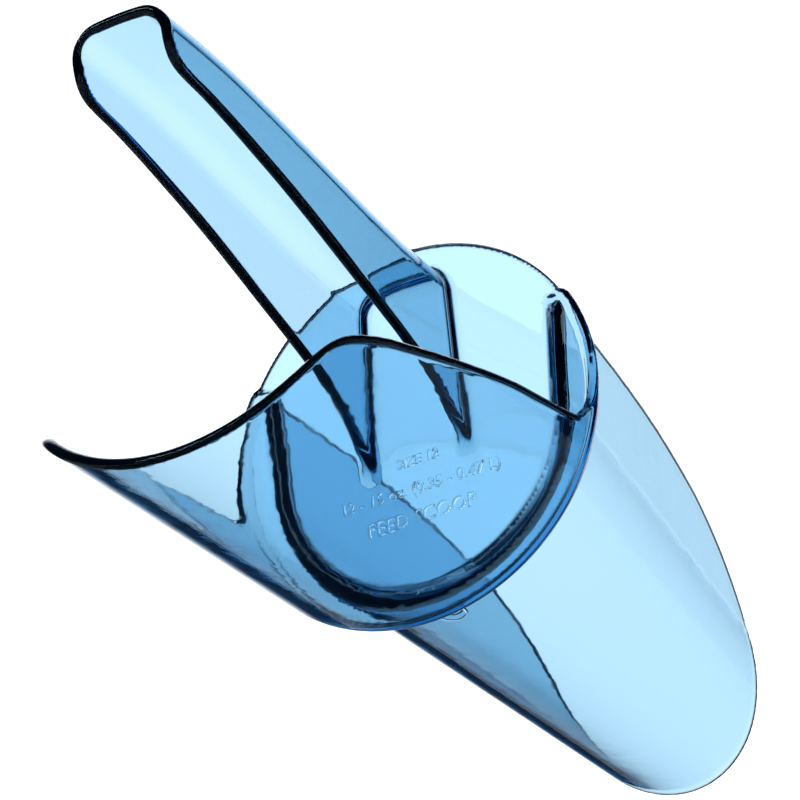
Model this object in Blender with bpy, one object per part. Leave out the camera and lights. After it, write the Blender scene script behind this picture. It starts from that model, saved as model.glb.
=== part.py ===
"""One-piece moulded scoop with a knuckle guard, divided into its named walls.

Frame: metres, +Y runs from the handle to the nose, +Z is up, +X is to the right when
looking along +Y. The lowest point of the guard is at Z = 0, and the origin is under the
middle of the scoop's length.
"""
import math

import bmesh
import bpy
from mathutils import Vector

# ---- driving dimensions -------------------------------------------------------------
WALL = 0.0028            # moulded wall thickness
GAP = 0.0003             # clearance between neighbouring walls of the moulding
DISC_RADIUS = 0.049      # back wall between the bowl and the handle
DISC_THICKNESS = 0.0030

BOWL_LENGTH = 0.135      # rear face of the disc to the tip of the nose
BOWL_HALF_WIDTH = 0.0413  # outside, at the disc, at the height of the floor's centre
BOWL_TAPER = 0.100       # half width lost per metre towards the nose
BOWL_LEAN = 0.05         # sideways spread of the straight sides, per metre of height
BOWL_FLOOR_DEPTH = 0.0430  # floor of the bowl below the disc centre, outside, at the disc
BOWL_FLOOR_SLOPE = 0.057

GUARD_LENGTH = 0.1085
GUARD_RADIUS = 0.0512    # outside, at the disc
GUARD_DRAFT = 0.010      # radius lost per metre away from the disc

AXIS_HEIGHT = GUARD_RADIUS

HANDLE_LENGTH = 0.123
DISC_Y = (HANDLE_LENGTH - BOWL_LENGTH) / 2  # rear face of the disc, from mid length
HANDLE_TOP_HEIGHT = 0.0408  # top of the handle above the disc centre, at the disc
HANDLE_TOP_SLOPE = 0.118
HANDLE_CORNER = 0.0070   # outside radius between the web and a side wall
HANDLE_HALF_TOP = 0.0133  # outside half width at the top
HANDLE_HALF_LOW = 0.0149  # outside half width at the root's lowest point
HANDLE_HALF_LOW_END = 0.0140
WEB_HALF = 0.0058        # flat middle of the handle
HANDLE_LOWEST = -0.016   # the side walls start this low, before their edge is cut
ROOT_LENGTH = 0.018      # flared stretch of the side walls next to the disc

# Side views of the free edges: (distance from the disc's rear face, height from its centre).
BOWL_EDGE = (
    (0.0, 0.0220), (0.010, 0.0212), (0.020, 0.0202), (0.030, 0.0190), (0.040, 0.0175),
    (0.050, 0.0157), (0.060, 0.0134), (0.070, 0.0106), (0.080, 0.0071), (0.090, 0.0024),
    (0.095, -0.0006), (0.100, -0.0041), (0.105, -0.0083), (0.110, -0.0131),
    (0.115, -0.0188), (0.120, -0.0253), (0.124, -0.0312), (0.128, -0.0378),
    (0.1315, -0.0440),
)
GUARD_EDGE = (
    (0.0, 0.0240), (0.0010, 0.0060), (0.0030, -0.0080), (0.0060, -0.0126),
    (0.0090, -0.0146), (0.0230, -0.0160), (0.0370, -0.0172), (0.0500, -0.0191),
    (0.0630, -0.0213), (0.0750, -0.0235), (0.0860, -0.0256), (0.0950, -0.0281),
    (0.0995, -0.0302), (0.1025, -0.0332), (0.1050, -0.0385), (0.1067, -0.0440),
    (0.1082, -0.0500), (GUARD_LENGTH, -0.0540),
)
HANDLE_EDGE = (
    (0.0, -0.0088), (0.0028, -0.0050), (0.0064, -0.0012), (0.0105, 0.0026),
    (0.0156, 0.0064), (0.0240, 0.0110), (0.0350, 0.0152), (0.0450, 0.0187),
    (0.0650, 0.0258), (0.0850, 0.0318), (0.0950, 0.0345), (0.1050, 0.0368),
    (0.1120, 0.0379), (0.1165, 0.0390), (0.1193, 0.0410), (0.1209, 0.0440),
    (0.1218, 0.0480), (0.1226, 0.0530),
)

MARK_SIZE = (0.030, 0.0005, 0.0062)  # raised capacity panel on the rear face
MARK_DROP = 0.0160
GATE_RADIUS = 0.0035     # round gate vestige under the bowl
GATE_THICKNESS = 0.0006
GATE_Y = 0.0127

PIPE_STEPS = 40
SPAN_STEPS = 10
BLUE = (0.16, 0.52, 0.85, 1.0)

DISC_EDGE = 0.0006       # small bevel of the disc's rim
BLANK_TOP = 0.030        # the bowl's sides before their rim is cut, above the disc centre
BLANK_EXTRA = 0.006      # how far the bowl's walls run on before the nose is cut
GUARD_SPREAD = math.radians(124)  # each way from the bottom, before the edge is cut
CUT_MARGIN = 0.004       # the cutters reach this far past what they cut
CUTTER_TOP = 0.040
CUTTER_BOTTOM = -0.056
CUTTER_HALF_WIDTH = 0.070


def clear_scene():
    for ob in list(bpy.data.objects):
        bpy.data.objects.remove(ob, do_unlink=True)


def material(name, colour, roughness=0.08):
    mat = bpy.data.materials.new(name)
    mat.use_nodes = True
    shader = mat.node_tree.nodes["Principled BSDF"]
    shader.inputs["Base Color"].default_value = colour
    shader.inputs["Roughness"].default_value = roughness
    shader.inputs["Metallic"].default_value = 0.0
    return mat


def place(point):
    """Turns a point measured from the centre of the disc's rear face into the frame."""
    x, y, z = point
    return Vector((x, y + DISC_Y, z + AXIS_HEIGHT))


def new_object(name, bm, mat=None):
    bmesh.ops.recalc_face_normals(bm, faces=bm.faces)
    mesh = bpy.data.meshes.new(name)
    bm.to_mesh(mesh)
    bm.free()
    mesh.shade_smooth()
    mesh.set_sharp_from_angle(angle=math.radians(40))
    ob = bpy.data.objects.new(name, mesh)
    bpy.context.scene.collection.objects.link(ob)
    if mat is not None:
        mesh.materials.append(mat)
    return ob


def loft(name, loops, mat=None):
    """A closed solid through loops of points, the same number in each, capped at both ends."""
    bm = bmesh.new()
    rings = [[bm.verts.new(place(p)) for p in loop] for loop in loops]
    count = len(rings[0])
    for near, far in zip(rings, rings[1:]):
        for i in range(count):
            j = (i + 1) % count
            bm.faces.new((near[i], near[j], far[j], far[i]))
    bm.faces.new(rings[0])
    bm.faces.new(list(reversed(rings[-1])))
    return new_object(name, bm, mat)


def prism(name, outline, half_width):
    """A cutter: an outline of (y, z) points carried across X."""
    loops = [[(x, y, z) for y, z in outline] for x in (-half_width, half_width)]
    cutter = loft(name, loops)
    cutter.hide_render = True
    cutter.display_type = "WIRE"
    return cutter


def cut(ob, cutter):
    mod = ob.modifiers.new("cut " + cutter.name, "BOOLEAN")
    mod.operation = "DIFFERENCE"
    mod.solver = "EXACT"
    mod.object = cutter


def steps(start, end, count):
    return [start + (end - start) * i / count for i in range(count + 1)]


# ---- bowl ---------------------------------------------------------------------------
def bowl_floor(y):
    return -BOWL_FLOOR_DEPTH - BOWL_FLOOR_SLOPE * y


def bowl_section(y, inset):
    """A U: slightly leaning sides down to a half circle that stands on the bowl's floor."""
    radius = BOWL_HALF_WIDTH - BOWL_TAPER * y
    centre = bowl_floor(y) + radius
    turn = radius - inset
    spread = turn + BOWL_LEAN * (BLANK_TOP - centre)
    points = [(-spread, y, BLANK_TOP)]
    for angle in steps(-math.pi / 2, math.pi / 2, PIPE_STEPS):
        points.append((turn * math.sin(angle), y, centre - turn * math.cos(angle)))
    points.append((spread, y, BLANK_TOP))
    return points


def make_bowl(mat):
    start = DISC_THICKNESS + GAP
    front = BOWL_LENGTH + BLANK_EXTRA
    loops = []
    for y in steps(start, front, SPAN_STEPS):
        loops.append(bowl_section(y, 0.0) + list(reversed(bowl_section(y, WALL))))
    bowl = loft("bowl", loops, mat)
    tip = (BOWL_LENGTH, bowl_floor(BOWL_LENGTH))
    back, ahead = start - CUT_MARGIN, front + CUT_MARGIN
    outline = [(back, BOWL_EDGE[0][1])] + list(BOWL_EDGE[1:])
    outline += [tip, (BOWL_LENGTH + 0.002, CUTTER_BOTTOM)]
    outline += [(ahead, CUTTER_BOTTOM), (ahead, CUTTER_TOP), (back, CUTTER_TOP)]
    cut(bowl, prism("bowl_rim_cutter", outline, CUTTER_HALF_WIDTH))
    return bowl


# ---- back wall ----------------------------------------------------------------------
def make_back_wall(mat):
    turns = steps(0.0, 2 * math.pi, 2 * PIPE_STEPS)[:-1]
    small = DISC_RADIUS - DISC_EDGE
    profile = ((0.0, small), (DISC_EDGE, DISC_RADIUS),
               (DISC_THICKNESS - DISC_EDGE, DISC_RADIUS), (DISC_THICKNESS, small))
    loops = []
    for y, radius in profile:
        loops.append([(radius * math.sin(a), y, radius * math.cos(a)) for a in turns])
    return loft("back_wall", loops, mat)


# ---- guard --------------------------------------------------------------------------
def guard_section(reach, inset):
    radius = GUARD_RADIUS - GUARD_DRAFT * reach - inset
    angles = steps(-GUARD_SPREAD, GUARD_SPREAD, PIPE_STEPS)
    return [(radius * math.sin(a), -reach, -radius * math.cos(a)) for a in angles]


def make_guard(mat):
    end = GUARD_LENGTH + CUT_MARGIN
    loops = []
    for reach in steps(GAP, end, SPAN_STEPS):
        loops.append(guard_section(reach, 0.0) + list(reversed(guard_section(reach, WALL))))
    guard = loft("hand_guard", loops, mat)
    edge = [(-reach, height) for reach, height in GUARD_EDGE]
    past_end = -end - CUT_MARGIN
    outline = [(CUT_MARGIN, CUTTER_TOP), (CUT_MARGIN, edge[0][1])] + edge
    outline += [(past_end, edge[-1][1]), (past_end, CUTTER_TOP)]
    cut(guard, prism("guard_edge_cutter", outline, CUTTER_HALF_WIDTH))
    return guard


# ---- handle -------------------------------------------------------------------------
def handle_top(reach):
    return HANDLE_TOP_HEIGHT + HANDLE_TOP_SLOPE * reach


def wall_outline(reach, inset):
    """One side of the channel in section, from its low edge up and over to the web."""
    share = reach / HANDLE_LENGTH
    upper = HANDLE_HALF_TOP - inset
    lower = HANDLE_HALF_LOW + (HANDLE_HALF_LOW_END - HANDLE_HALF_LOW) * share - inset
    top = handle_top(reach) - inset
    corner = HANDLE_CORNER - inset
    points = [(lower, HANDLE_LOWEST)]
    for angle in steps(0.0, math.pi / 2, 6):
        points.append((upper - corner + corner * math.cos(angle),
                       top - corner + corner * math.sin(angle)))
    points.append((WEB_HALF + GAP, top))
    return points


def make_wall(name, mat, side, start, end, cutter):
    loops = []
    for reach in steps(start, end, SPAN_STEPS):
        section = wall_outline(reach, 0.0) + list(reversed(wall_outline(reach, WALL)))
        loops.append([(side * x, -reach, z) for x, z in section])
    cut(loft(name, loops, mat), cutter)


def make_web(mat):
    loops = []
    for reach in steps(GAP, HANDLE_LENGTH, SPAN_STEPS):
        top = handle_top(reach)
        low = top - WALL
        section = ((-WEB_HALF, top), (WEB_HALF, top), (WEB_HALF, low), (-WEB_HALF, low))
        loops.append([(x, -reach, z) for x, z in section])
    loft("handle_web", loops, mat)


def make_handle(mat):
    edge = [(-reach, height) for reach, height in HANDLE_EDGE]
    past_end = -HANDLE_LENGTH - CUT_MARGIN
    below = HANDLE_LOWEST - CUT_MARGIN
    outline = [(CUT_MARGIN, below), (CUT_MARGIN, edge[0][1])] + edge
    outline += [(past_end, edge[-1][1]), (past_end, below)]
    cutter = prism("handle_edge_cutter", outline, CUTTER_HALF_WIDTH)
    make_web(mat)
    for side, word in ((1, "right"), (-1, "left")):
        make_wall("handle_root_" + word, mat, side, GAP, ROOT_LENGTH, cutter)
        make_wall("handle_wall_" + word, mat, side, ROOT_LENGTH + GAP, HANDLE_LENGTH, cutter)


# ---- small raised marks -------------------------------------------------------------
def make_marks(mat):
    width, depth, height = MARK_SIZE
    loops = []
    for y in (-GAP, -GAP - depth):
        corners = ((-1, -1), (1, -1), (1, 1), (-1, 1))
        loops.append([(sx * width / 2, y, sz * height / 2 - MARK_DROP) for sx, sz in corners])
    loft("capacity_mark", loops, mat)

    turns = steps(0.0, 2 * math.pi, 24)[:-1]
    loops = []
    for drop in (GAP, GAP + GATE_THICKNESS):
        z = bowl_floor(GATE_Y + GATE_RADIUS) - drop
        ring = [(GATE_RADIUS * math.cos(a), GATE_Y + GATE_RADIUS * math.sin(a), z) for a in turns]
        loops.append(ring)
    loft("gate_mark", loops, mat)


def main():
    clear_scene()
    blue = material("clear_blue_polycarbonate", BLUE)
    make_bowl(blue)
    make_back_wall(blue)
    make_guard(blue)
    make_handle(blue)
    make_marks(blue)


main()
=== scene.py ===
"""The looks of the clear blue moulded scoop.

The whole scoop is one continuous moulding, so its surface is made here as one closed mesh.
Each wall is a signed distance field in millimetres, measured from the centre of the back
wall's rear face. The fields are joined with fillets, the surface is meshed on a grid, and
every vertex is then moved onto the exact surface and given that surface's normal. The
lettering is a second mesh of thin solids just off that face.
"""

import math

import bmesh
import bpy
import numpy as np
from mathutils import Matrix, Vector


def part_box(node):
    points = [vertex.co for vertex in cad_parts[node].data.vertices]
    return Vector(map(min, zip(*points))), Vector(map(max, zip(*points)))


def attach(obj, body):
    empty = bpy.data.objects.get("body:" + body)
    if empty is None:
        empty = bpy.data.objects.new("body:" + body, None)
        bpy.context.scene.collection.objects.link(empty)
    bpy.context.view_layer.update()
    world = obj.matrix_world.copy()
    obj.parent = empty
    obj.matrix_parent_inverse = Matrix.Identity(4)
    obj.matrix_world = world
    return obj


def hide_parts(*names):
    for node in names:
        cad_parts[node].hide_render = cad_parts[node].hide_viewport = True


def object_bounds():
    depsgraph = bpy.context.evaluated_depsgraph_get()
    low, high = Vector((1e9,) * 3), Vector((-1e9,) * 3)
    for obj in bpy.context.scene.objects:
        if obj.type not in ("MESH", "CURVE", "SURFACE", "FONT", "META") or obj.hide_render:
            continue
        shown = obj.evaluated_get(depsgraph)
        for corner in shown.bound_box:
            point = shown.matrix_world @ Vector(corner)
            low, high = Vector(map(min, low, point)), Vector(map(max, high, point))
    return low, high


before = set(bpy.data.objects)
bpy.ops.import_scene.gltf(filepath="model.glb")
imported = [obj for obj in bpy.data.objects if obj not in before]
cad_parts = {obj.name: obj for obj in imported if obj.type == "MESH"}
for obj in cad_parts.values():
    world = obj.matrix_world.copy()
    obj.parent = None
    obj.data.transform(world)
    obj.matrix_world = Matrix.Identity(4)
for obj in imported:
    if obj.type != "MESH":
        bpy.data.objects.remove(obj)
CAD_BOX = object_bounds()

MM = 0.001
WELD = 1e-7                  # metres: corners closer than this are one corner

# ---- the centre of the back wall's rear face, in metres --------------------------------
DISC_LOW, DISC_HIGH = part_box("back_wall")
ORIGIN = Vector((0.0, DISC_LOW[1], (DISC_LOW[2] + DISC_HIGH[2]) / 2))

# ---- sizes read from the frame, in millimetres -----------------------------------------
DISC_RADIUS = (DISC_HIGH[0] - DISC_LOW[0]) / 2 / MM
DISC_THICKNESS = (DISC_HIGH[1] - DISC_LOW[1]) / MM
BOWL_LENGTH = (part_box("bowl")[1][1] - ORIGIN.y) / MM
GUARD_LENGTH = (ORIGIN.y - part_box("hand_guard")[0][1]) / MM
HANDLE_LENGTH = (ORIGIN.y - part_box("handle_web")[0][1]) / MM

# ---- sizes of the moulding, in millimetres ---------------------------------------------
WALL = 2.8
EDGE_ROUND = 1.3             # the free edges are almost fully round
DISC_EDGE_ROUND = 0.9

BOWL_HALF_WIDTH = 41.3
BOWL_TAPER = 0.100
BOWL_LEAN = 0.05             # the sides spread a little above the round floor
BOWL_FLOOR_DEPTH = 43.0
BOWL_FLOOR_SLOPE = 0.057
GUARD_RADIUS = 51.2
GUARD_DRAFT = -0.010
GUARD_CORNER = 5.0           # rounding where the guard turns into the back wall

HANDLE_CORNER = 7.0
HANDLE_CROWN = 1.3
HANDLE_HALF_TOP = 13.3
HANDLE_HALF_LOW = 14.9
HANDLE_HALF_LOW_END = 14.0
HANDLE_LOWEST = -16.0

FILLET_INSIDE_BOWL = 2.6
FILLET_OUTSIDE_BOWL = 1.0
FILLET_GUARD = 1.8
FILLET_HANDLE = 1.8

# The free edges seen from the side: distance from the back wall, height from its centre.
BOWL_EDGE = [(0.0, 22.0), (20.0, 20.2), (40.0, 17.5), (60.0, 13.4), (80.0, 7.1), (90.0, 2.4),
             (100.0, -4.1), (110.0, -13.1), (120.0, -25.3), (128.0, -37.5), (133.0, -46.5),
             (136.5, -54.0)]
GUARD_EDGE = [(0.0, 24.0), (1.0, 6.0), (3.0, -8.0), (6.0, -12.6), (9.0, -14.6), (23.0, -16.0),
              (37.0, -17.2), (50.0, -19.1), (63.0, -21.3), (75.0, -23.5), (86.0, -25.6),
              (95.0, -28.1), (99.5, -30.2), (102.5, -33.2), (105.0, -38.5), (106.7, -44.0),
              (108.2, -50.0), (108.8, -54.0)]
HANDLE_EDGE = [(0.0, -8.8), (2.8, -5.0), (6.4, -1.2), (10.5, 2.6), (15.6, 6.4), (24.0, 11.0),
               (35.0, 15.2), (45.0, 18.7), (55.0, 22.3), (65.0, 25.8), (75.0, 29.0),
               (85.0, 31.8), (95.0, 34.5), (105.0, 36.8), (112.0, 37.9), (116.5, 39.0),
               (119.3, 41.0), (120.9, 44.0), (121.8, 48.0), (122.6, 53.0), (123.0, 60.0)]
HANDLE_TOP = [(-5.0, 40.0), (0.0, 40.1), (20.0, 41.4), (40.0, 44.3), (60.0, 47.6),
              (80.0, 50.8), (100.0, 53.2), (130.0, 54.4)]

LETTER_DEPTH = 0.35          # how far the letters stand out from the back wall
LETTER_GAP = 0.03            # and the clear space behind them
CAP_SHARE = 0.70             # a capital's height as a share of the font size
LETTERING = [                # the words, the capitals' height, the baseline's height
    ("SIZE 12", 2.6, -8.2),
    ("12 - 16 oz. (0.35 - 0.47 L)", 3.0, -15.8),
    ("FEED SCOOP", 3.6, -23.4),
    ("A 4", 2.4, -41.4),
]

POLYCARBONATE_IOR = 1.585
SHEEN_TINT = (0.55, 0.80, 1.0, 1.0)
TINT = (0.19, 0.64, 0.86, 1.0)    # what the plastic lets through, and how strongly
TINT_DENSITY = 340.0
WEAR_SCALE = 60.0            # patches of slightly duller surface, from handling
WEAR_ROUGHNESS = 0.05

LONG_WAVE_SCALE = 45.0       # waviness of the moulded faces: waves about 20 mm long
LONG_WAVE_HEIGHT = 0.00010
SHORT_WAVE_SCALE = 250.0     # and about 4 mm long, heights in metres
SHORT_WAVE_HEIGHT = 0.00001

GATE_REACH = 12.7            # the gate ring's place under the bowl
GATE_HEIGHT = -43.7
GATE_RADIUS = 3.5
GATE_RING = 0.45             # from the ring's crest to its foot
GATE_RING_HEIGHT = 0.12

GRID = 0.9                   # meshing step across the walls
FINE_STEP = 0.8              # and along the scoop, at the back wall and at the ends
LONG_STEP = 2.2              # and in between
FINE_AT_GUARD_END = 8.0      # how much of the scoop's length has the fine step
FINE_AT_BACK_WALL = 8.0
FINE_AT_NOSE = 20.0
LEVELS = (-60.0, 61.0)       # heights of the grid's lowest and highest levels
GRID_REACH = 62.0            # at this height, up or down, a level would not be bent
LOW_LEVEL = -20.0            # the level that follows the guard's free edge
HIGH_LEVEL = 24.0            # and the one that follows the handle's and the bowl's
GUARD_FOLLOWED = (9.0, 101.0)     # the stretch of each edge that a level follows
HANDLE_FOLLOWED = (12.0, 113.0)
BOWL_FOLLOWED = (4.0, 112.0)
OUTLINE_END = 70.0           # the side views of the bowl and guard run down to here
HANDLE_OUTLINE_END = 80.0    # and the handle's runs up to here
SETTLE_ROUNDS = 5            # how often the vertices are moved towards the exact surface
SETTLE_LIMIT = 0.4           # and how far they may go each time
FLATTEST_SLOPE = 0.3         # squared slopes below this count as this

# ---- stage sizes, in metres ------------------------------------------------------------
CAMERA_PLACE = ORIGIN + Vector((0.45305, -0.82818, -0.479496))
CAMERA_AIM = ORIGIN + Vector((-0.0004, -0.0041, 0.0066))
CAMERA_ROLL = math.radians(-4.32)
CAMERA_LENS = 199.4

FLOOR_RADIUS = 6.0
LIGHT_AIM = Vector((0.0, 0.0, 0.05))
BEHIND_LEFT = Vector((-0.60, -1.09, 0.64))   # both lights' places, from where they aim
LOW_RIGHT = Vector((0.26, 1.01, -0.60))

# The bright backdrop: a cone round the line of sight, given by the cosines of its angles,
# that fades out below, between two cosines to the camera's upward direction.
BACKDROP_EDGE = math.cos(math.radians(48))
BACKDROP_FULL = math.cos(math.radians(20))
BACKDROP_FOOT = -0.30
BACKDROP_FOOT_FULL = -0.10
BACKDROP_LIGHT = 1.4
ROOM_LIGHT = (0.012, 0.030, 0.060, 1.0)    # the dim light from everywhere else


# ---- distance fields -------------------------------------------------------------------
def round_both(a, b, radius):
    """Where two fields meet, the solid common to both, with its outer edge rounded."""
    u = np.maximum(a + radius, 0.0)
    v = np.maximum(b + radius, 0.0)
    return np.minimum(np.maximum(a, b), -radius) + np.hypot(u, v)


def fillet(a, b, radius):
    """Both solids joined, with a fillet of this radius in the corners between them."""
    u = np.maximum(radius - a, 0.0)
    v = np.maximum(radius - b, 0.0)
    return np.maximum(np.minimum(a, b), radius) - np.hypot(u, v)


def outline_distance(y, z, outline):
    """Distance to a closed (y, z) outline carried across X, negative inside it."""
    points = np.asarray(outline, float)
    y, z = np.broadcast_arrays(y, z)
    nearest = np.full(y.shape, np.inf)
    inside = np.zeros(y.shape, bool)
    for (y0, z0), (y1, z1) in zip(points, np.roll(points, -1, axis=0)):
        ey, ez = y1 - y0, z1 - z0
        wy, wz = y - y0, z - z0
        along = np.clip((wy * ey + wz * ez) / (ey * ey + ez * ez), 0.0, 1.0)
        nearest = np.minimum(nearest, (wy - ey * along) ** 2 + (wz - ez * along) ** 2)
        if ez != 0.0:
            crosses = ((z0 > z) != (z1 > z)) & (wy < ey * wz / ez)
            inside ^= crosses
    return np.where(inside, -1.0, 1.0) * np.sqrt(nearest)


def smooth_path(points, per_span=8):
    """Points along a Catmull-Rom curve through the given ones."""
    p = np.asarray(points, float)
    p = np.vstack([2 * p[0] - p[1], p, 2 * p[-1] - p[-2]])
    out = []
    for a, b, c, d in zip(p, p[1:], p[2:], p[3:]):
        for t in np.arange(per_span) / per_span:
            out.append(0.5 * (2 * b + (c - a) * t + (2 * a - 5 * b + 4 * c - d) * t * t
                              + (3 * b - a - 3 * c + d) * t ** 3))
    out.append(p[-2])
    return [tuple(q) for q in out]


BOWL_PATH = smooth_path(BOWL_EDGE)
GUARD_PATH = smooth_path(GUARD_EDGE)
HANDLE_PATH = smooth_path(HANDLE_EDGE)
TOP_PATH = np.array(smooth_path(HANDLE_TOP))


def outline(path, toward, start, end):
    """Closed side view of a wall, between its free edge and the height end.

    It starts at y = start, where the wall joins the disc. Toward is 1 for the bowl, which
    reaches forwards, and -1 for what reaches back.
    """
    edge = [(toward * reach, height) for reach, height in path]
    return [(start, end), (start, edge[0][1])] + edge + [(edge[-1][0], end)]


BOWL_OUTLINE = outline(BOWL_PATH, 1, 0.5, -OUTLINE_END)
GUARD_OUTLINE = outline(GUARD_PATH, -1, 3.0, -OUTLINE_END)
HANDLE_OUTLINE = outline(HANDLE_PATH, -1, 1.0, HANDLE_OUTLINE_END)


def bowl_field(x, y, z):
    outer = BOWL_HALF_WIDTH - BOWL_TAPER * y
    centre = outer - BOWL_FLOOR_DEPTH - BOWL_FLOOR_SLOPE * y
    lean = BOWL_LEAN * np.maximum(z - centre, 0.0)
    from_middle = np.hypot(x, np.minimum(z - centre, 0.0)) - (outer + lean - WALL / 2)
    shell = np.abs(from_middle) - WALL / 2
    cut = outline_distance(y, z, BOWL_OUTLINE)
    return round_both(shell, cut, EDGE_ROUND), from_middle


def guard_field(x, y, z):
    outer = GUARD_RADIUS - GUARD_DRAFT * y
    radial = np.hypot(x, z)
    outside = round_both(radial - outer, y - DISC_THICKNESS, GUARD_CORNER)
    shell = np.maximum(outside, outer - WALL - radial)
    cut = outline_distance(y, z, GUARD_OUTLINE)
    return round_both(shell, cut, EDGE_ROUND)


def handle_field(x, y, z):
    reach = -y
    share = np.clip(reach / HANDLE_LENGTH, 0.0, 1.0)
    level = np.interp(reach, TOP_PATH[:, 0], TOP_PATH[:, 1])
    lower = HANDLE_HALF_LOW + (HANDLE_HALF_LOW_END - HANDLE_HALF_LOW) * share
    height = np.clip((z - HANDLE_LOWEST) / (level - HANDLE_CORNER - HANDLE_LOWEST), 0.0, 1.0)
    half = lower + (HANDLE_HALF_TOP - lower) * height
    top = level + HANDLE_CROWN * (1.0 - (x / half) ** 2)
    corner = HANDLE_CORNER - WALL / 2
    side = np.abs(x) - (half - HANDLE_CORNER)
    rise = z - (top - HANDLE_CORNER)
    from_middle = (np.hypot(np.maximum(side, 0.0), np.maximum(rise, 0.0))
                   + np.minimum(np.maximum(side, rise), 0.0) - corner)
    shell = np.abs(from_middle) - WALL / 2
    cut = outline_distance(y, z, HANDLE_OUTLINE)
    return round_both(shell, cut, EDGE_ROUND)


def disc_field(x, y, z):
    radial = np.hypot(x, z) - DISC_RADIUS
    slab = np.abs(y - DISC_THICKNESS / 2) - DISC_THICKNESS / 2
    return round_both(radial, slab, DISC_EDGE_ROUND)


def scoop_field(x, y, z):
    disc = disc_field(x, y, z)
    bowl, from_middle = bowl_field(x, y, z)
    share = np.clip(from_middle / WALL + 0.5, 0.0, 1.0)
    bowl_fillet = FILLET_INSIDE_BOWL + (FILLET_OUTSIDE_BOWL - FILLET_INSIDE_BOWL) * share
    whole = fillet(disc, bowl, bowl_fillet)
    whole = fillet(whole, guard_field(x, y, z), FILLET_GUARD)
    return fillet(whole, handle_field(x, y, z), FILLET_HANDLE)


def gradient(field, p, step=0.02):
    x, y, z = p.T
    slopes = [field(x + step, y, z) - field(x - step, y, z),
              field(x, y + step, z) - field(x, y - step, z),
              field(x, y, z + step) - field(x, y, z - step)]
    return np.stack(slopes, axis=1) / (2 * step)


# ---- meshing ---------------------------------------------------------------------------
def surface_net(values):
    """Vertices (in grid steps) and quads of the surface where the grid's values change sign."""
    inside = values < 0
    cells = tuple(n - 1 for n in values.shape)
    total = np.zeros(cells + (3,), np.float32)
    count = np.zeros(cells, np.float32)
    crossings = []
    for axis in range(3):
        near = [slice(None)] * 3
        far = [slice(None)] * 3
        near[axis], far[axis] = slice(None, -1), slice(1, None)
        a, b = values[tuple(near)], values[tuple(far)]
        cross = inside[tuple(near)] != inside[tuple(far)]
        crossings.append(cross)
        at = np.zeros_like(a)
        at[cross] = a[cross] / (a[cross] - b[cross])
        others = [k for k in range(3) if k != axis]
        for du in (0, 1):
            for dv in (0, 1):
                part = [slice(None)] * 3
                part[axis] = slice(None)
                part[others[0]] = slice(du, du + cells[others[0]])
                part[others[1]] = slice(dv, dv + cells[others[1]])
                hit = cross[tuple(part)]
                count += hit
                total[..., axis] += np.where(hit, at[tuple(part)], 0.0)
                total[..., others[0]] += hit * du
                total[..., others[1]] += hit * dv
    used = count > 0
    number = np.full(cells, -1, np.int64)
    number[used] = np.arange(used.sum())
    places = np.argwhere(used) + total[used] / count[used][:, None]

    quads = []
    for axis in range(3):
        u, v = (axis + 1) % 3, (axis + 2) % 3
        spots = np.argwhere(crossings[axis])
        good = ((spots[:, u] > 0) & (spots[:, v] > 0)
                & (spots[:, u] < cells[u]) & (spots[:, v] < cells[v]))
        spots = spots[good]
        out = inside[tuple(spots.T)]
        corners = []
        for du, dv in ((1, 1), (0, 1), (0, 0), (1, 0)):
            cell = spots.copy()
            cell[:, u] -= du
            cell[:, v] -= dv
            corners.append(number[tuple(cell.T)])
        quad = np.stack(corners, axis=1)
        quad[~out] = quad[~out][:, ::-1]
        quads.append(quad)
    return places, np.vstack(quads)


def lengthways_steps(low, high):
    """Grid planes along Y: close together at the back wall and at the ends."""
    fine = [(low, -GUARD_LENGTH + FINE_AT_GUARD_END),
            (-FINE_AT_BACK_WALL, FINE_AT_BACK_WALL), (BOWL_LENGTH - FINE_AT_NOSE, high)]
    planes = [low]
    while planes[-1] < high:
        near = any(a <= planes[-1] <= b for a, b in fine)
        planes.append(planes[-1] + (FINE_STEP if near else LONG_STEP))
    return np.array(planes)


def followed(path, stretch):
    """The points of an edge that lie within a stretch of its reach."""
    points = np.array(path)
    start, end = stretch
    return points[(points[:, 0] > start) & (points[:, 0] < end)]


def heights(planes, levels):
    """The grid's height at each plane and level; two levels follow the long free edges."""
    guard = followed(GUARD_PATH, GUARD_FOLLOWED)
    handle = followed(HANDLE_PATH, HANDLE_FOLLOWED)
    bowl = followed(BOWL_PATH, BOWL_FOLLOWED)
    half_way = -GRID_REACH + (bowl[:, 1] + GRID_REACH) / 2
    low_y = np.concatenate([-guard[::-1, 0], bowl[:, 0]])
    low_z = np.concatenate([guard[::-1, 1], half_way])
    high_y = np.concatenate([-handle[::-1, 0], bowl[:, 0]])
    high_z = np.concatenate([handle[::-1, 1], bowl[:, 1]])
    plain = [-GRID_REACH, LOW_LEVEL, HIGH_LEVEL, GRID_REACH]
    rows = []
    for y in planes:
        low, high = np.interp(y, low_y, low_z), np.interp(y, high_y, high_z)
        rows.append(np.interp(levels, plain, [-GRID_REACH, low, high, GRID_REACH]))
    return np.array(rows)


def grid_places(indices, across, planes, levels, height):
    """The points at these fractional steps of the bent grid."""
    ix, iy, iz = indices.T
    j = np.minimum(iy.astype(int), len(planes) - 2)
    k = np.minimum(iz.astype(int), len(levels) - 2)
    fy, fz = iy - j, iz - k
    z = ((height[j, k] * (1 - fz) + height[j, k + 1] * fz) * (1 - fy)
         + (height[j + 1, k] * (1 - fz) + height[j + 1, k + 1] * fz) * fy)
    x = np.interp(ix, np.arange(len(across)), across)
    y = np.interp(iy, np.arange(len(planes)), planes)
    return np.stack([x, y, z], axis=1)


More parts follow.
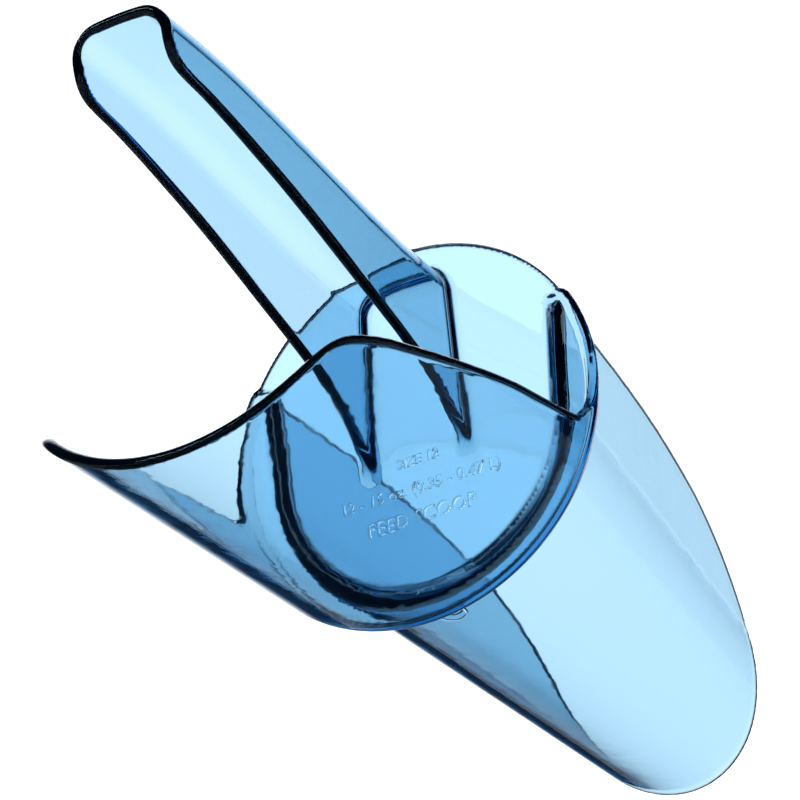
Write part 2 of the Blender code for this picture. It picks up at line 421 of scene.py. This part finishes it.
def moulding_points():
    """The moulding's vertices, quads and vertex normals, in millimetres from the origin."""
    margin = 3 * GRID
    low = (np.array(CAD_BOX[0]) - np.array(ORIGIN)) / MM - margin
    high = (np.array(CAD_BOX[1]) - np.array(ORIGIN)) / MM + margin
    right = np.arange(GRID / 2, high[0] + GRID, GRID)
    across = np.concatenate([-right[::-1], right])
    planes = lengthways_steps(low[1], high[1])
    levels = np.arange(*LEVELS, GRID)
    height = heights(planes, levels)
    half = [scoop_field(np.full((1, 1, 1), x), planes[None, :, None], height[None])
            for x in right]
    half = np.concatenate(half).astype(np.float32)
    indices, quads = surface_net(np.concatenate([half[::-1], half]))
    points = grid_places(indices, across, planes, levels, height)
    for _ in range(SETTLE_ROUNDS):
        slope = gradient(scoop_field, points)
        off = np.clip(scoop_field(*points.T)[:, None], -SETTLE_LIMIT, SETTLE_LIMIT)
        points -= off * slope / np.maximum((slope ** 2).sum(1), FLATTEST_SLOPE)[:, None]
    slope = gradient(scoop_field, points)
    normals = slope / np.linalg.norm(slope, axis=1)[:, None]
    return points, quads, normals


def make_moulding():
    points, quads, normals = moulding_points()
    mesh = bpy.data.meshes.new("scoop_moulding")
    world = points * MM + np.array(ORIGIN)
    mesh.from_pydata(world.tolist(), [], quads.tolist())
    mesh.shade_smooth()
    mesh.normals_split_custom_set_from_vertices(normals.tolist())
    piece = bpy.data.objects.new("scoop_moulding", mesh)
    bpy.context.scene.collection.objects.link(piece)
    return piece


# ---- lettering -------------------------------------------------------------------------
def make_lettering():
    """Thin raised letters on the back wall's rear face, one closed solid for each glyph."""
    upright = Matrix(((1, 0, 0), (0, 0, -1), (0, 1, 0))).to_4x4()
    letters = bmesh.new()
    for words, height, baseline in LETTERING:
        curve = bpy.data.curves.new("line", "FONT")
        curve.body = words
        curve.align_x = "CENTER"
        curve.size = height * MM / CAP_SHARE
        curve.extrude = LETTER_DEPTH * MM / 2
        curve.resolution_u = 3
        line = bpy.data.objects.new("line", curve)
        shape = bpy.data.meshes.new_from_object(line)
        middle = Vector((0.0, -LETTER_DEPTH / 2 - LETTER_GAP, baseline))
        shape.transform(Matrix.Translation(ORIGIN + middle * MM) @ upright)
        letters.from_mesh(shape)
        bpy.data.objects.remove(line)
    bmesh.ops.remove_doubles(letters, verts=letters.verts, dist=WELD)
    mesh = bpy.data.meshes.new("raised_lettering")
    letters.to_mesh(mesh)
    letters.free()
    mesh.shade_flat()
    piece = bpy.data.objects.new("raised_lettering", mesh)
    bpy.context.scene.collection.objects.link(piece)
    return piece


# ---- materials -------------------------------------------------------------------------
def maths(nodes, links, operation, *values):
    node = nodes.new("ShaderNodeMath")
    node.operation = operation
    for socket, value in zip(node.inputs, values):
        if isinstance(value, (int, float)):
            socket.default_value = value
        else:
            links.new(value, socket)
    return node.outputs["Value"]


def ramp(nodes, links, value, start, end, low=0.0, high=1.0):
    """A smooth step from low to high as the value goes from start to end."""
    node = nodes.new("ShaderNodeMapRange")
    node.interpolation_type = "SMOOTHSTEP"
    node.inputs["From Min"].default_value = start
    node.inputs["From Max"].default_value = end
    node.inputs["To Min"].default_value = low
    node.inputs["To Max"].default_value = high
    links.new(value, node.inputs["Value"])
    return node.outputs["Result"]


def noise_height(nodes, links, place, scale, height):
    wave = nodes.new("ShaderNodeTexNoise")
    wave.inputs["Scale"].default_value = scale
    wave.inputs["Detail"].default_value = 1.0
    links.new(place.outputs["Object"], wave.inputs["Vector"])
    return maths(nodes, links, "MULTIPLY", wave.outputs["Fac"], height)


def gate_ring_height(nodes, links, place):
    """The low ring left round the moulding's gate, under the bowl."""
    away = nodes.new("ShaderNodeVectorMath")
    away.operation = "DISTANCE"
    away.inputs[1].default_value = ORIGIN + Vector((0.0, GATE_REACH, GATE_HEIGHT)) * MM
    links.new(place.outputs["Object"], away.inputs[0])
    distance = away.outputs["Value"]
    inner = ramp(nodes, links, distance, (GATE_RADIUS - GATE_RING) * MM, GATE_RADIUS * MM)
    outer = ramp(nodes, links, distance, (GATE_RADIUS + GATE_RING) * MM, GATE_RADIUS * MM)
    ring = maths(nodes, links, "MULTIPLY", inner, outer)
    return maths(nodes, links, "MULTIPLY", ring, GATE_RING_HEIGHT * MM)


def clear_blue():
    """Polycarbonate: clear, tinted by its depth, with the faint waviness of a moulding."""
    mat = bpy.data.materials.new("clear_blue_polycarbonate")
    mat.use_nodes = True
    nodes, links = mat.node_tree.nodes, mat.node_tree.links
    shader = nodes["Principled BSDF"]
    shader.inputs["Base Color"].default_value = (1.0, 1.0, 1.0, 1.0)
    shader.inputs["Transmission Weight"].default_value = 1.0
    shader.inputs["IOR"].default_value = POLYCARBONATE_IOR
    shader.inputs["Specular Tint"].default_value = SHEEN_TINT

    place = nodes.new("ShaderNodeTexCoord")
    # Only where the noise is high is the surface a little dull.
    wear = nodes.new("ShaderNodeTexNoise")
    wear.inputs["Scale"].default_value = WEAR_SCALE
    wear.inputs["Detail"].default_value = 4.0
    links.new(place.outputs["Object"], wear.inputs["Vector"])
    rough = nodes.new("ShaderNodeMapRange")
    rough.inputs["From Min"].default_value = 0.35
    rough.inputs["From Max"].default_value = 0.75
    rough.inputs["To Min"].default_value = 0.0
    rough.inputs["To Max"].default_value = WEAR_ROUGHNESS
    links.new(wear.outputs["Fac"], rough.inputs["Value"])
    links.new(rough.outputs["Result"], shader.inputs["Roughness"])

    long_wave = noise_height(nodes, links, place, LONG_WAVE_SCALE, LONG_WAVE_HEIGHT)
    short_wave = noise_height(nodes, links, place, SHORT_WAVE_SCALE, SHORT_WAVE_HEIGHT)
    waves = maths(nodes, links, "ADD", long_wave, short_wave)
    height = maths(nodes, links, "ADD", waves, gate_ring_height(nodes, links, place))
    bump = nodes.new("ShaderNodeBump")
    bump.inputs["Strength"].default_value = 1.0
    bump.inputs["Distance"].default_value = 1.0
    links.new(height, bump.inputs["Height"])
    links.new(bump.outputs["Normal"], shader.inputs["Normal"])

    tint = nodes.new("ShaderNodeVolumeAbsorption")
    tint.inputs["Color"].default_value = TINT
    tint.inputs["Density"].default_value = TINT_DENSITY
    links.new(tint.outputs["Volume"], nodes["Material Output"].inputs["Volume"])
    return mat


def pale_floor():
    """Plain matt white from above, and nothing from below."""
    mat = bpy.data.materials.new("pale_floor")
    mat.use_nodes = True
    nodes, links = mat.node_tree.nodes, mat.node_tree.links
    shader = nodes["Principled BSDF"]
    shader.inputs["Base Color"].default_value = (0.86, 0.87, 0.88, 1.0)
    shader.inputs["Roughness"].default_value = 0.9
    clear = nodes.new("ShaderNodeBsdfTransparent")
    side = nodes.new("ShaderNodeNewGeometry")
    mix = nodes.new("ShaderNodeMixShader")
    links.new(side.outputs["Backfacing"], mix.inputs["Fac"])
    links.new(shader.outputs["BSDF"], mix.inputs[1])
    links.new(clear.outputs["BSDF"], mix.inputs[2])
    links.new(mix.outputs["Shader"], nodes["Material Output"].inputs["Surface"])
    return mat


# ---- stage -----------------------------------------------------------------------------
def make_floor():
    bpy.ops.mesh.primitive_circle_add(vertices=64, radius=FLOOR_RADIUS, fill_type="NGON")
    floor = bpy.context.active_object
    floor.name = "floor"
    floor.data.materials.append(pale_floor())


def softbox(name, place, aim, size, power):
    data = bpy.data.lights.new(name, "AREA")
    data.shape = "RECTANGLE"
    data.size, data.size_y = size
    data.energy = power
    lamp = bpy.data.objects.new(name, data)
    bpy.context.scene.collection.objects.link(lamp)
    lamp.location = place
    lamp.rotation_euler = (Vector(aim) - Vector(place)).to_track_quat("-Z", "Y").to_euler()
    return lamp


def make_camera():
    data = bpy.data.cameras.new("camera")
    data.lens = CAMERA_LENS
    camera = bpy.data.objects.new("camera", data)
    bpy.context.scene.collection.objects.link(camera)
    turn = (CAMERA_AIM - CAMERA_PLACE).to_track_quat("-Z", "Y").to_matrix().to_4x4()
    roll = Matrix.Rotation(CAMERA_ROLL, 4, "Z")
    camera.matrix_world = Matrix.Translation(CAMERA_PLACE) @ turn @ roll
    bpy.context.scene.camera = camera
    return camera


def make_world(camera):
    """A bright backdrop behind the scoop, fading to dark at the sides and underneath."""
    world = bpy.data.worlds.new("studio")
    bpy.context.scene.world = world
    world.use_nodes = True
    nodes, links = world.node_tree.nodes, world.node_tree.links
    back = nodes["Background"]
    back.inputs["Strength"].default_value = 1.0
    up, behind = camera.matrix_world.to_3x3().col[1:]
    place = nodes.new("ShaderNodeTexCoord")

    def along(direction):
        node = nodes.new("ShaderNodeVectorMath")
        node.operation = "DOT_PRODUCT"
        node.inputs[1].default_value = direction
        links.new(place.outputs["Generated"], node.inputs[0])
        return node.outputs["Value"]

    cone = ramp(nodes, links, along(-behind), BACKDROP_EDGE, BACKDROP_FULL)
    above = ramp(nodes, links, along(up), BACKDROP_FOOT, BACKDROP_FOOT_FULL)
    glow = maths(nodes, links, "MULTIPLY", cone, above)
    glow = maths(nodes, links, "MULTIPLY", glow, BACKDROP_LIGHT)
    ray = nodes.new("ShaderNodeLightPath")
    seen = maths(nodes, links, "MULTIPLY", ray.outputs["Is Camera Ray"], BACKDROP_LIGHT)
    links.new(maths(nodes, links, "MAXIMUM", glow, seen), back.inputs["Color"])
    room = nodes.new("ShaderNodeBackground")
    room.inputs["Color"].default_value = ROOM_LIGHT
    both = nodes.new("ShaderNodeAddShader")
    links.new(back.outputs["Background"], both.inputs[0])
    links.new(room.outputs["Background"], both.inputs[1])
    links.new(both.outputs["Shader"], nodes["World Output"].inputs["Surface"])


def main():
    piece = make_moulding()
    piece.data.materials.append(clear_blue())
    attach(piece, "root")
    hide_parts(*[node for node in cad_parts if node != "capacity_mark"])

    lettering = make_lettering()
    lettering.data.materials.append(piece.data.materials[0])
    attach(lettering, "root")
    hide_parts("capacity_mark")

    make_floor()
    make_world(make_camera())
    softbox("behind_left", LIGHT_AIM + BEHIND_LEFT, LIGHT_AIM, (0.3, 0.3), 0.6)
    softbox("low_right", LIGHT_AIM + LOW_RIGHT, LIGHT_AIM, (0.7, 0.7), 6.0)
    bpy.context.scene.view_settings.view_transform = "Standard"


main()
